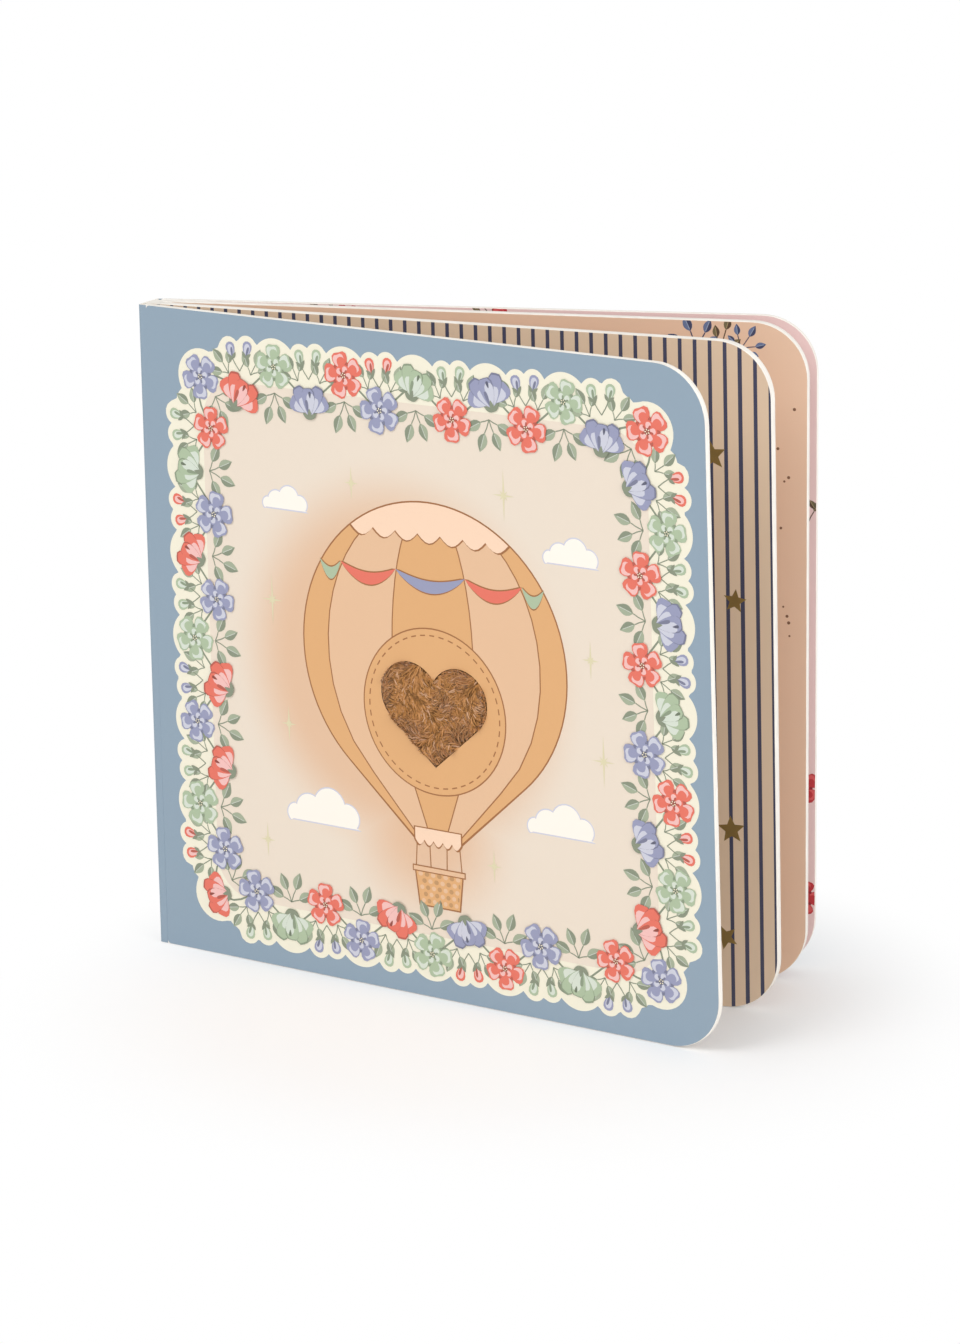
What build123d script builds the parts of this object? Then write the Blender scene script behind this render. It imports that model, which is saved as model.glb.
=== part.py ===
from build123d import *
from math import acos, atan2, cos, radians, sin, sqrt
import os

os.makedirs("parts", exist_ok=True)

# A square board book that stands on its bottom edges with its boards fanned a little open.
# X runs from the spine to the fore-edge, Y from the front to the back and Z up, in millimetres.
# The origin is at the foot of the bound edge, in the middle of the book's thickness.

# Boards
board_width = 170.0
board_height = 170.0
cover_thickness = 1.8
leaf_thickness = 2.8
fore_corner_radius = 14.0
bound_corner_radius = 1.2

# Binding
spine_thickness = 1.0
gutter_depth = 4.0  # how far in from the spine the leaves are glued together
crease_clearance = 0.2  # between a cover and the bound block, and at the spine's two edges
hinge_clearance = 0.3  # between a cover's bound end and the spine

# Fan: how far each board is turned about its crease from the closed book, towards the back
front_cover_turn = -8.1
front_leaf_turn = 2.9
back_leaf_turn = 10.9
back_cover_turn = 13.5

# Heart-shaped pocket in the front cover, and the plush patch glued into it
heart_width = 32.0
heart_height = 26.5
heart_lobe_radius = 8.6
heart_from_spine = 89.3
heart_tip_height = 61.0
pocket_depth = 1.2
plush_thickness = 1.5
plush_clearance = 0.2

# Places worked out from the sizes above
leaf_block_thickness = 2 * leaf_thickness
book_thickness = leaf_block_thickness + 2 * (cover_thickness + crease_clearance)
crease_x = -gutter_depth / 2
front_crease_y = -book_thickness / 2
back_crease_y = book_thickness / 2
front_leaf_y = -leaf_block_thickness / 2
back_leaf_y = leaf_block_thickness / 2


def board_plane(crease_y, turn):
    """Upright plane through a board's crease: x towards the fore-edge, normal to the front."""
    angle = radians(turn)
    return Plane(
        origin=(crease_x, crease_y, 0),
        x_dir=(cos(angle), sin(angle), 0),
        z_dir=(sin(angle), -cos(angle), 0),
    )


def board_outline(bound_end):
    """Rectangle from bound_end to the fore-edge, with two large and two small round corners."""
    with BuildSketch() as outline:
        with Locations(((bound_end + board_width) / 2, board_height / 2)):
            Rectangle(board_width - bound_end, board_height)
        corners = outline.vertices().sort_by(Axis.X)
        fillet(corners[2:], fore_corner_radius)
        fillet(corners[:2], bound_corner_radius)
    return outline.sketch


def heart_outline():
    """Two round lobes and the straight sides that run from them down to the tip."""
    lobe_x = heart_width / 2 - heart_lobe_radius
    lobe_y = heart_height - heart_lobe_radius
    tip_distance = sqrt(lobe_x**2 + lobe_y**2)
    # The side touches the lobe where the radius is square to it.
    touch_angle = acos(heart_lobe_radius / tip_distance) + atan2(-lobe_y, -lobe_x)
    touch_x = lobe_x + heart_lobe_radius * cos(touch_angle)
    touch_y = lobe_y + heart_lobe_radius * sin(touch_angle)
    with BuildSketch() as heart:
        with Locations((lobe_x, lobe_y), (-lobe_x, lobe_y)):
            Circle(heart_lobe_radius)
        with BuildLine():
            Polyline(
                (0, 0),
                (touch_x, touch_y),
                (lobe_x, lobe_y),
                (-lobe_x, lobe_y),
                (-touch_x, touch_y),
                close=True,
            )
        make_face()
    return heart.sketch


# Front cover: a board whose outer face passes through the front crease
front_cover_plane = board_plane(front_crease_y, front_cover_turn)
pocket_floor_plane = front_cover_plane.offset(-pocket_depth)
with BuildPart() as front_cover:
    with BuildSketch(front_cover_plane):
        add(board_outline(hinge_clearance))
    extrude(amount=-cover_thickness)
    with BuildSketch(front_cover_plane):
        with Locations((heart_from_spine, heart_tip_height)):
            add(heart_outline())
    extrude(amount=-pocket_depth, mode=Mode.SUBTRACT)
front_cover.part.label = "front_cover"
export_step(front_cover.part, "parts/front_cover.step")

# Plush patch: stands on the pocket's floor, clear of its wall and a little proud of the cover
with BuildPart() as plush_heart:
    with BuildSketch(pocket_floor_plane):
        with Locations((heart_from_spine, heart_tip_height)):
            add(heart_outline())
        offset(amount=-plush_clearance)
    extrude(amount=plush_thickness)
plush_heart.part.label = "plush_heart"
export_step(plush_heart.part, "parts/plush_heart.step")

# Pages: two leaves fanned apart and glued to each other along the gutter. The leaves start
# inside the glued block, so that its flat end is the one that meets the spine.
leaf_start = gutter_depth / 2
gutter_corners = [
    board_plane(front_leaf_y, front_leaf_turn).from_local_coords((gutter_depth, 0, 0)),
    board_plane(back_leaf_y, back_leaf_turn).from_local_coords((gutter_depth, 0, 0)),
]
with BuildPart() as pages:
    with BuildSketch(board_plane(front_leaf_y, front_leaf_turn)):
        add(board_outline(leaf_start))
    extrude(amount=-leaf_thickness)
    with BuildSketch(board_plane(back_leaf_y, back_leaf_turn)):
        add(board_outline(leaf_start))
    extrude(amount=leaf_thickness)
    with BuildSketch():
        with BuildLine():
            Polyline(
                (crease_x, front_leaf_y),
                (gutter_corners[0].X, gutter_corners[0].Y),
                (gutter_corners[1].X, gutter_corners[1].Y),
                (crease_x, back_leaf_y),
                close=True,
            )
        make_face()
    extrude(amount=board_height)
pages.part.label = "pages"
export_step(pages.part, "parts/pages.step")

# Back cover: a board whose outer face passes through the back crease
with BuildPart() as back_cover:
    with BuildSketch(board_plane(back_crease_y, back_cover_turn)):
        add(board_outline(hinge_clearance))
    extrude(amount=cover_thickness)
back_cover.part.label = "back_cover"
export_step(back_cover.part, "parts/back_cover.step")

# Spine: a card strip over the bound edge, glued to the pages' flat end
with BuildPart() as spine:
    with BuildSketch():
        with Locations((crease_x - spine_thickness / 2, 0)):
            Rectangle(spine_thickness, book_thickness - 2 * crease_clearance)
    extrude(amount=board_height)
spine.part.label = "spine"
export_step(spine.part, "parts/spine.step")
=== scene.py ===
import random
from collections import namedtuple
from math import asin, atan2, cos, degrees, hypot, pi, radians, sin, sqrt, tan

import bpy
from bpy.props import FloatProperty, FloatVectorProperty, IntProperty, PointerProperty
from mathutils import Matrix, Vector


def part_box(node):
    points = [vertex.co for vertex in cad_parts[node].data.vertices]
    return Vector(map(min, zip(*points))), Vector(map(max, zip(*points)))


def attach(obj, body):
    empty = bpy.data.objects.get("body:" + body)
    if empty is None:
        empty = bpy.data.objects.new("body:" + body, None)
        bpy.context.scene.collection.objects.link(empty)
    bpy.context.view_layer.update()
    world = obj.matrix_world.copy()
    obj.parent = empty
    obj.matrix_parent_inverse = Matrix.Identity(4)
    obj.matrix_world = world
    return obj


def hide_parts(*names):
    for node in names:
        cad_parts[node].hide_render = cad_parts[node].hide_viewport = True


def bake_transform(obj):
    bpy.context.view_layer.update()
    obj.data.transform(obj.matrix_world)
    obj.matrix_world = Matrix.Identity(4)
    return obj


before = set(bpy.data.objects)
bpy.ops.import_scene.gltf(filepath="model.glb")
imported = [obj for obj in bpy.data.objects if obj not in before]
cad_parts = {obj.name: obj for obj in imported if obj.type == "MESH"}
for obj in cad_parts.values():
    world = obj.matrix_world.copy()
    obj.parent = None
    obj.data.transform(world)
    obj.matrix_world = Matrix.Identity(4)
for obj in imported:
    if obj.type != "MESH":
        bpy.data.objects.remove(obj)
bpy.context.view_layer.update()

bl_info = {
    "name": "Board Book Looks",
    "version": (1, 0, 0),
    "blender": (4, 5, 0),
    "location": "3D View > Sidebar > Book",
    "description": "Printed boards, plush heart and studio for a fanned board book",
    "category": "Object",
}

MM = 0.001

# Each board is modelled flat, with X from its crease to the fore-edge, Y to the back and Z up.
# front and back are its two faces' places along Y, and twist is how much further it opens at
# its top than at its foot, in degrees.
Board = namedtuple("Board", "name crease_y turn twist front back start body")
CREASE_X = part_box("spine")[1].x
BOARD_WIDTH = 170 * MM
BOARD_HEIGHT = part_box("spine")[1].z
FRONT_COVER = Board("front_cover", -4.8 * MM, -8.1, 2.5, 0.0, 1.8 * MM, 0.3 * MM, "front")
FRONT_LEAF = Board("front_leaf", -2.8 * MM, 2.9, 2.5, 0.0, 2.8 * MM, 2.0 * MM, "block")
BACK_LEAF = Board("back_leaf", 2.8 * MM, 10.9, 0.8, -2.8 * MM, 0.0, 2.0 * MM, "block")
BACK_COVER = Board("back_cover", 4.8 * MM, 13.5, 0.8, -1.8 * MM, 0.0, 0.3 * MM, "back")

FORE_CORNER = 14 * MM
BOUND_CORNER = 1.2 * MM
GRID_PITCH = BOARD_WIDTH / 20
PRINT_LIFT = 0.03 * MM
CREASE_PAPER = 2.0 * MM  # how far the folded paper of the spine reaches on to each cover
PRINT_STEP = 0.011 * MM
PAPER_THICKNESS = 0.04 * MM

HEART_FROM_CREASE = 89.3 * MM
HEART_TIP_HEIGHT = 61 * MM
HEART_LOBE_X = 7.4 * MM
HEART_LOBE_Z = 17.9 * MM
HEART_LOBE_RADIUS = 8.6 * MM
POCKET_DEPTH = 1.2 * MM


def tint(red, green, blue):
    """Colour from 0-255 display values."""

    def linear(value):
        value /= 255
        return value / 12.92 if value <= 0.04045 else ((value + 0.055) / 1.055) ** 2.4

    return linear(red), linear(green), linear(blue)


def colour(name, description, default):
    return FloatVectorProperty(
        name=name, description=description, subtype="COLOR", size=3, min=0, max=1, default=default
    )


def length(name, description, default):
    return FloatProperty(
        name=name, description=description, subtype="DISTANCE", unit="LENGTH", default=default
    )


class BookPaper(bpy.types.PropertyGroup):
    cover: colour("Cover blue", "Paper on the covers and spine", tint(142, 161, 177))
    field: colour("Field", "Cream field of the front cover", tint(232, 218, 201))
    margin: colour("Margin", "Cream margin round the garland", tint(240, 234, 213))
    halo: colour("Halo", "Soft glow behind the balloon", tint(224, 182, 146))
    stripe_ground: colour("Stripe ground", "Ground of the striped spread", tint(222, 197, 170))
    stripe: colour("Stripe", "Narrow navy stripes", tint(66, 68, 92))
    peach: colour("Peach", "Paper of the middle spread", tint(222, 189, 163))
    pink: colour("Pink", "Paper of the last spread", tint(230, 202, 198))
    core: colour("Board core", "Pale grey board seen at every edge", tint(246, 240, 230))


class BookInk(bpy.types.PropertyGroup):
    coral: colour("Coral", "Coral blossoms", tint(228, 114, 95))
    periwinkle: colour("Periwinkle", "Periwinkle blossoms", tint(150, 153, 182))
    sage: colour("Sage", "Sage blossoms", tint(172, 189, 158))
    leaf: colour("Leaf", "Leaves of the garland", tint(163, 173, 148))
    caramel: colour("Caramel", "Balloon", tint(222, 170, 116))
    outline: colour("Outline", "Thin drawn lines", tint(160, 106, 62))
    blush: colour("Blush", "Balloon's trim", tint(246, 212, 184))
    gold: colour("Gold", "Stars on the stripes", tint(150, 126, 74))
    sparkle: colour("Sparkle", "Pale stars on the cover", tint(222, 213, 176))


class BookPlush(bpy.types.PropertyGroup):
    pile: colour("Pile", "Plush heart", tint(194, 136, 76))
    tufts: IntProperty(name="Tufts", description="Tufts of pile", default=5600, min=100)
    tuft_length: length("Tuft length", "Length of one tuft of pile", 2.8 * MM)


class BookStage(bpy.types.PropertyGroup):
    key: FloatProperty(name="Key", description="Power of the large lamp", unit="POWER", default=11)
    fill: FloatProperty(name="Fill", description="Power of the side lamp", unit="POWER", default=13)
    sky: FloatProperty(name="Sky", description="Strength of the even light", default=0.64)


def deselect():
    if bpy.context.object and bpy.context.object.mode != "OBJECT":
        bpy.ops.object.mode_set(mode="OBJECT")
    bpy.ops.object.select_all(action="DESELECT")


def pick(*objects):
    """Select these objects alone, with the first one active."""
    deselect()
    for one in objects:
        one.select_set(True)
    bpy.context.view_layer.objects.active = objects[0]


def edit_all(one):
    """Open a mesh in edit mode with everything selected."""
    pick(one)
    bpy.ops.object.mode_set(mode="EDIT")
    bpy.ops.mesh.select_all(action="SELECT")


def apply_modifier(one, kind, **settings):
    pick(one)
    bpy.ops.object.modifier_add(type=kind)
    modifier = one.modifiers[-1]
    for key, value in settings.items():
        setattr(modifier, key, value)
    bpy.ops.object.modifier_apply(modifier=modifier.name)


def cut_paper(name, outline, material, y=0.0, facing=-1):
    """Flat shape whose rim follows an outline of (across, up) points and which faces -Y or +Y."""
    deselect()
    bpy.ops.mesh.primitive_circle_add(vertices=len(outline), fill_type="NGON")
    shape = bpy.context.object
    shape.name = name
    for vertex, (across, up) in zip(shape.data.vertices, outline):
        vertex.co = (across, y, up)
    shape.data.materials.append(material)
    if shape.data.polygons[0].normal.y * facing < 0:
        edit_all(shape)
        bpy.ops.mesh.flip_normals()
        bpy.ops.object.mode_set(mode="OBJECT")
    return shape


def join(name, shapes):
    """One object from several, with its place in its mesh."""
    pick(*shapes)
    bpy.ops.object.transform_apply(location=True, rotation=True, scale=True)
    if len(shapes) > 1:
        bpy.ops.object.join()
    shapes[0].name = name
    shapes[0].data.name = name
    return shapes[0]


def stamp(pattern, across, up, turn=0.0, size=1.0, y=0.0, relief_share=1.0):
    """Copy of a flat pattern, turned anticlockwise and set at a place."""
    twin = pattern.copy()
    twin.data = pattern.data.copy()
    bpy.context.collection.objects.link(twin)
    twin.matrix_world = (
        Matrix.Translation((across, y, up))
        @ Matrix.Rotation(-turn, 4, "Y")
        @ Matrix.Diagonal((size, relief_share, size, 1))
    )
    return twin


def discard(shapes):
    pick(*shapes)
    bpy.ops.object.delete()


def thicken(one, thickness=PRINT_STEP):
    """Give a sheet its thickness, behind the side that it faces."""
    apply_modifier(one, "SOLIDIFY", thickness=thickness, offset=-1)


def slice_grid(one, pitch=GRID_PITCH):
    """Cut a flat piece into squares, so that it can follow the board's twist."""
    edit_all(one)
    for axis in ((1, 0, 0), (0, 0, 1)):
        for step in range(1, round(BOARD_WIDTH / pitch)):
            bpy.ops.mesh.select_all(action="SELECT")
            place = Vector(axis) * step * pitch
            bpy.ops.mesh.bisect(plane_co=place, plane_no=axis)
    bpy.ops.object.mode_set(mode="OBJECT")


def twist_cage(board):
    """Lattice of eight points that holds the twist of one board."""
    deselect()
    middle = (BOARD_WIDTH / 2, 0, BOARD_HEIGHT / 2)
    bpy.ops.object.add(type="LATTICE", location=middle)
    cage = bpy.context.object
    cage.name = f"twist_{board.name}"
    cage.scale = (1.1 * BOARD_WIDTH, 0.04, 1.1 * BOARD_HEIGHT)
    lattice = cage.data
    lattice.interpolation_type_u = "KEY_LINEAR"
    lattice.interpolation_type_v = "KEY_LINEAR"
    lattice.interpolation_type_w = "KEY_LINEAR"
    for point in lattice.points:
        across = point.co.x * cage.scale.x + middle[0]
        share = point.co.z * 1.1
        slip = across * sin(radians(-board.twist * share))
        point.co_deform.y = point.co.y + slip / cage.scale.y
    return cage


def seat(pieces, board):
    """Twist flat pieces with their board, stand them at their crease and let them ride on it."""
    cage = twist_cage(board)
    for one in pieces:
        apply_modifier(one, "LATTICE", object=cage)
        one.rotation_euler.z = radians(board.turn)
        one.location = (CREASE_X, board.crease_y, 0)
        pick(one)
        bpy.ops.object.transform_apply(location=True, rotation=True, scale=True)
        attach(one, board.body)
    discard([cage])


def on_board(board, across, up, y=0.0):
    """Where a point of a flat board is once the board is twisted and stood at its crease."""
    share = up / BOARD_HEIGHT - 0.5
    slip = across * sin(radians(-board.twist * share))
    turned = Matrix.Rotation(radians(board.turn), 3, "Z") @ Vector((across, y + slip, up))
    return turned + Vector((CREASE_X, board.crease_y, 0))


def print_y(board, level=0, facing=-1):
    """Height of a layer of print: outside the board's front (-1) or back (+1) face."""
    face = board.front if facing < 0 else board.back
    return face + facing * (PRINT_LIFT + level * PRINT_STEP)


# ---------------------------------------------------------------- materials


def new_material(name, base, roughness):
    """A Principled material; returns it with its nodes, links and shader."""
    material = bpy.data.materials.new(name)
    material.use_nodes = True
    nodes = material.node_tree.nodes
    links = material.node_tree.links
    shader = nodes["Principled BSDF"]
    shader.inputs["Base Color"].default_value = (*base, 1)
    shader.inputs["Roughness"].default_value = roughness
    material.diffuse_color = (*base, 1)
    return material, nodes, links, shader


def noise(nodes, links, scale, detail=3, stretch=(1, 1, 1)):
    """Noise on the piece's own coordinates, finer along an axis with a larger stretch."""
    place = nodes.new("ShaderNodeTexCoord")
    mapping = nodes.new("ShaderNodeMapping")
    mapping.inputs["Scale"].default_value = stretch
    texture = nodes.new("ShaderNodeTexNoise")
    texture.inputs["Scale"].default_value = scale
    texture.inputs["Detail"].default_value = detail
    links.new(place.outputs["Object"], mapping.inputs["Vector"])
    links.new(mapping.outputs["Vector"], texture.inputs["Vector"])
    return texture


def spread(nodes, links, source, low, high, start=0.3, end=0.7):
    """Map a grey value to a range."""
    ramp = nodes.new("ShaderNodeMapRange")
    ramp.inputs["From Min"].default_value = start
    ramp.inputs["From Max"].default_value = end
    ramp.inputs["To Min"].default_value = low
    ramp.inputs["To Max"].default_value = high
    links.new(source, ramp.inputs["Value"])
    return ramp.outputs["Result"]


def relief(nodes, links, shader, source, strength, distance):
    bump = nodes.new("ShaderNodeBump")
    bump.inputs["Strength"].default_value = strength
    bump.inputs["Distance"].default_value = distance
    links.new(source, bump.inputs["Height"])
    links.new(bump.outputs["Normal"], shader.inputs["Normal"])


def satin_lamination(nodes, links, shader):
    """The thin satin film over every printed face: faint waves and uneven gloss."""
    waves = noise(nodes, links, 45, detail=2)
    fibre = noise(nodes, links, 1400, detail=4)
    links.new(spread(nodes, links, waves.outputs["Fac"], 0.42, 0.54), shader.inputs["Roughness"])
    relief(nodes, links, shader, fibre.outputs["Fac"], 0.12, 0.02 * MM)
    shader.inputs["Specular IOR Level"].default_value = 0.4
    shader.inputs["Coat Weight"].default_value = 0.08
    shader.inputs["Coat Roughness"].default_value = 0.35


def printed(name, base):
    """Ink or coloured paper under the satin lamination."""
    known = bpy.data.materials.get(name)
    if known:
        return known
    material, nodes, links, shader = new_material(name, base, 0.48)
    satin_lamination(nodes, links, shader)
    return material


def shade(base, share):
    """A deeper (share below 1) or paler (above 1) tone of a colour."""
    if share <= 1:
        return tuple(value * share for value in base)
    return tuple(value + (1 - value) * (share - 1) for value in base)


def board_core_material():
    """Pressed pale board: fine plies along the edge and a dry surface."""
    base = bpy.context.scene.book_paper.core
    material, nodes, links, shader = new_material("board_core", base, 0.85)
    plies = noise(nodes, links, 260, detail=3, stretch=(0.6, 9, 0.6))
    mix = nodes.new("ShaderNodeMix")
    mix.data_type = "RGBA"
    mix.inputs["A"].default_value = (*shade(base, 0.86), 1)
    mix.inputs["B"].default_value = (*shade(base, 1.25), 1)
    links.new(spread(nodes, links, plies.outputs["Fac"], 0, 1), mix.inputs["Factor"])
    links.new(mix.outputs["Result"], shader.inputs["Base Color"])
    relief(nodes, links, shader, plies.outputs["Fac"], 0.3, 0.05 * MM)
    shader.inputs["Specular IOR Level"].default_value = 0.25
    return material


def glow(nodes, links, centre, inner, outer):
    """1 within inner of a point, fading softly to 0 at outer."""
    place = nodes.new("ShaderNodeTexCoord")
    away = nodes.new("ShaderNodeVectorMath")
    away.operation = "DISTANCE"
    away.inputs[1].default_value = centre
    links.new(place.outputs["Object"], away.inputs[0])
    ramp = nodes.new("ShaderNodeMapRange")
    ramp.interpolation_type = "SMOOTHSTEP"
    ramp.inputs["From Min"].default_value = inner
    ramp.inputs["From Max"].default_value = outer
    ramp.inputs["To Min"].default_value = 1
    ramp.inputs["To Max"].default_value = 0
    links.new(away.outputs["Value"], ramp.inputs["Value"])
    return ramp.outputs["Result"]


def field_material():
    """Cream field with the airbrushed glow behind the balloon and its basket."""
    paper = bpy.context.scene.book_paper
    material, nodes, links, shader = new_material("cream_field", paper.field, 0.48)
    spots = (
        (80 * MM, 85 * MM, 34 * MM, 55 * MM),
        (86 * MM, 44 * MM, 6 * MM, 30 * MM),
    )
    together = None
    for across, up, inner, outer in spots:
        spot = glow(nodes, links, on_board(FRONT_COVER, across, up), inner, outer)
        if together is None:
            together = spot
            continue
        larger = nodes.new("ShaderNodeMath")
        larger.operation = "MAXIMUM"
        links.new(together, larger.inputs[0])
        links.new(spot, larger.inputs[1])
        together = larger.outputs["Value"]
    mix = nodes.new("ShaderNodeMix")
    mix.data_type = "RGBA"
    mix.inputs["A"].default_value = (*paper.field, 1)
    mix.inputs["B"].default_value = (*paper.halo, 1)
    soft = nodes.new("ShaderNodeMath")
    soft.operation = "MULTIPLY"
    soft.inputs[1].default_value = 0.85
    links.new(together, soft.inputs[0])
    links.new(soft.outputs["Value"], mix.inputs["Factor"])
    links.new(mix.outputs["Result"], shader.inputs["Base Color"])
    satin_lamination(nodes, links, shader)
    return material


def gold_material():
    material, nodes, links, shader = new_material(
        "gold_foil", bpy.context.scene.book_ink.gold, 0.4
    )
    shader.inputs["Metallic"].default_value = 0.55
    grain = noise(nodes, links, 900, detail=3)
    links.new(spread(nodes, links, grain.outputs["Fac"], 0.32, 0.5), shader.inputs["Roughness"])
    relief(nodes, links, shader, grain.outputs["Fac"], 0.2, 0.02 * MM)
    return material


def plush_material(name, base):
    """Matt brushed fibre with a soft sheen."""
    material, nodes, links, shader = new_material(name, base, 0.9)
    strands = noise(nodes, links, 2600, detail=4)
    links.new(spread(nodes, links, strands.outputs["Fac"], 0.75, 0.95), shader.inputs["Roughness"])
    relief(nodes, links, shader, strands.outputs["Fac"], 0.5, 0.1 * MM)
    shader.inputs["Specular IOR Level"].default_value = 0.2
    shader.inputs["Sheen Weight"].default_value = 0.25
    shader.inputs["Sheen Roughness"].default_value = 0.5
    return material


# ---------------------------------------------------------------- outlines


def arc(centre_across, centre_up, radius, start, end, steps):
    """Points along an arc, both ends included, angles in degrees."""
    points = []
    for step in range(steps + 1):
        angle = radians(start + (end - start) * step / steps)
        points.append((centre_across + radius * cos(angle), centre_up + radius * sin(angle)))
    return points


def board_outline(start, inset=0.0):
    """A board's outline from its bound end, with two large and two small round corners."""
    left, right = start + inset, BOARD_WIDTH - inset
    low, high = inset, BOARD_HEIGHT - inset
    small, large = BOUND_CORNER - inset, FORE_CORNER - inset
    return (
        arc(right - large, low + large, large, -90, 0, 14)
        + arc(right - large, high - large, large, 0, 90, 14)
        + arc(left + small, high - small, small, 90, 180, 4)
        + arc(left + small, low + small, small, 180, 270, 4)
    )


def heart_outline(inset=0.0):
    """Two round lobes and the straight sides that run from them down to the tip."""
    radius = HEART_LOBE_RADIUS - inset
    side = atan2(HEART_LOBE_X, HEART_LOBE_Z)
    side += asin(HEART_LOBE_RADIUS / hypot(HEART_LOBE_X, HEART_LOBE_Z))
    notch = degrees(atan2(sqrt(radius**2 - HEART_LOBE_X**2), -HEART_LOBE_X))
    right = arc(HEART_LOBE_X, HEART_LOBE_Z, radius, -degrees(side), notch, 22)
    left = [(-across, up) for across, up in reversed(right[:-1])]
    points = [(0.0, inset / sin(side))] + right + left
    return [(HEART_FROM_CREASE + across, HEART_TIP_HEIGHT + up) for across, up in points]


def petal_outline(long, wide, notch=0.0, steps=14):
    """A petal from its narrow base at the origin up to its round or notched end."""
    points = []
    for step in range(steps):
        angle = 2 * pi * step / steps
        rise = (1 - cos(angle)) / 2
        dip = 1 - notch * max(0.0, 1 - abs(angle - pi) / 0.7)
        points.append((-wide / 2 * sin(angle) * (0.35 + 0.75 * rise), long * rise * dip))
    return points


def leaf_outline(long, wide, steps=6):
    """A leaf with a point at each end."""
    right = []
    for step in range(1, steps):
        along = step / steps
        right.append((wide / 2 * sin(pi * along**0.85), long * along))
    left = [(-across, up) for across, up in reversed(right)]
    return [(0.0, 0.0)] + right + [(0.0, long)] + left


def half_leaf_outline(long, wide, steps=6):
    """The darker half of a leaf, to the right of its midrib."""
    right = []
    for step in range(1, steps):
        along = step / steps
        right.append((wide / 2 * sin(pi * along**0.85) * 0.93, long * along))
    return [(0.0, 0.02 * long)] + right + [(0.0, 0.98 * long)]


def star_outline(points, tall, waist, wide=None):
    """A star with its first point up; wide sets its sideways points apart from its tall ones."""
    wide = tall if wide is None else wide
    outline = []
    for step in range(2 * points):
        angle = pi / 2 + pi * step / points
        if step % 2:
            outline.append((waist * cos(angle), waist * sin(angle)))
        else:
            outline.append((wide * cos(angle), tall * sin(angle)))
    return outline


def stroke_outline(path, wide):
    """A thin line of even width that follows a path of a few points."""
    left, right = [], []
    for index, (across, up) in enumerate(path):
        before = path[max(index - 1, 0)]
        after = path[min(index + 1, len(path) - 1)]
        heading = atan2(after[1] - before[1], after[0] - before[0])
        side = (-sin(heading) * wide / 2, cos(heading) * wide / 2)
        left.append((across + side[0], up + side[1]))
        right.append((across - side[0], up - side[1]))
    return right + list(reversed(left))


def turned(outline, angle, across=0.0, up=0.0):
    """An outline turned anticlockwise about the origin and then moved."""
    return [
        (across + x * cos(angle) - z * sin(angle), up + x * sin(angle) + z * cos(angle))
        for x, z in outline
    ]


# ---------------------------------------------------------------- garland patterns


def tones(name, base):
    """Paler, plain, deeper and darkest ink of one blossom colour."""
    return (
        printed(f"{name}_pale", shade(base, 1.42)),
        printed(name, base),
        printed(f"{name}_deep", shade(base, 0.62)),
        printed(f"{name}_dark", shade(base, 0.36)),
    )


def layer(level):
    return -level * PRINT_STEP


def ring_of(name, outline, count, start, apart, material, level):
    """The same petal repeated round a centre, its base this far from it."""
    shapes = []
    for step in range(count):
        angle = start + 2 * pi * step / count
        place = turned(outline, angle, -apart * sin(angle), apart * cos(angle))
        # Neighbours lie a little above one another, so that they don't share a plane.
        lift = 0.25 * PRINT_STEP * (step % 2 + (step == count - 1))
        shapes.append(cut_paper(name, place, material, layer(level) - lift))
    return shapes


def open_blossom(name, inks):
    """Five broad notched petals round five small ones, seen from the front."""
    pale, plain, deep, dark = inks
    fifth = 2 * pi / 5
    shapes = ring_of(name, petal_outline(5.9 * MM, 6.0 * MM, 0.1), 5, 0, 0.5 * MM, plain, 1)
    shapes += ring_of(name, petal_outline(4.6 * MM, 4.3 * MM, 0.1), 5, 0.09, 1.2 * MM, pale, 2)
    shapes += ring_of(name, petal_outline(3.7 * MM, 3.2 * MM), 5, -0.06, 1.0 * MM, plain, 3)
    shapes += ring_of(name, petal_outline(2.9 * MM, 1.2 * MM), 5, fifth / 2, 0.8 * MM, deep, 4)
    shapes += ring_of(name, petal_outline(2.7 * MM, 2.7 * MM), 5, fifth / 2, 0.1 * MM, plain, 5)
    shapes += ring_of(name, petal_outline(2.2 * MM, 1.9 * MM), 5, 0.7, 0.2 * MM, pale, 6)
    shapes += ring_of(name, petal_outline(1.7 * MM, 0.7 * MM), 5, 0.35, 0.1 * MM, deep, 7)
    shapes.append(cut_paper(name, arc(0, 0, 0.85 * MM, 0, 330, 11), dark, layer(8)))
    cream = printed("pollen", tint(246, 236, 206))
    shapes += ring_of(name, petal_outline(0.5 * MM, 0.42 * MM, 0, 8), 5, 0, 0.25 * MM, cream, 9)
    return join(name, shapes)


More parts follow.
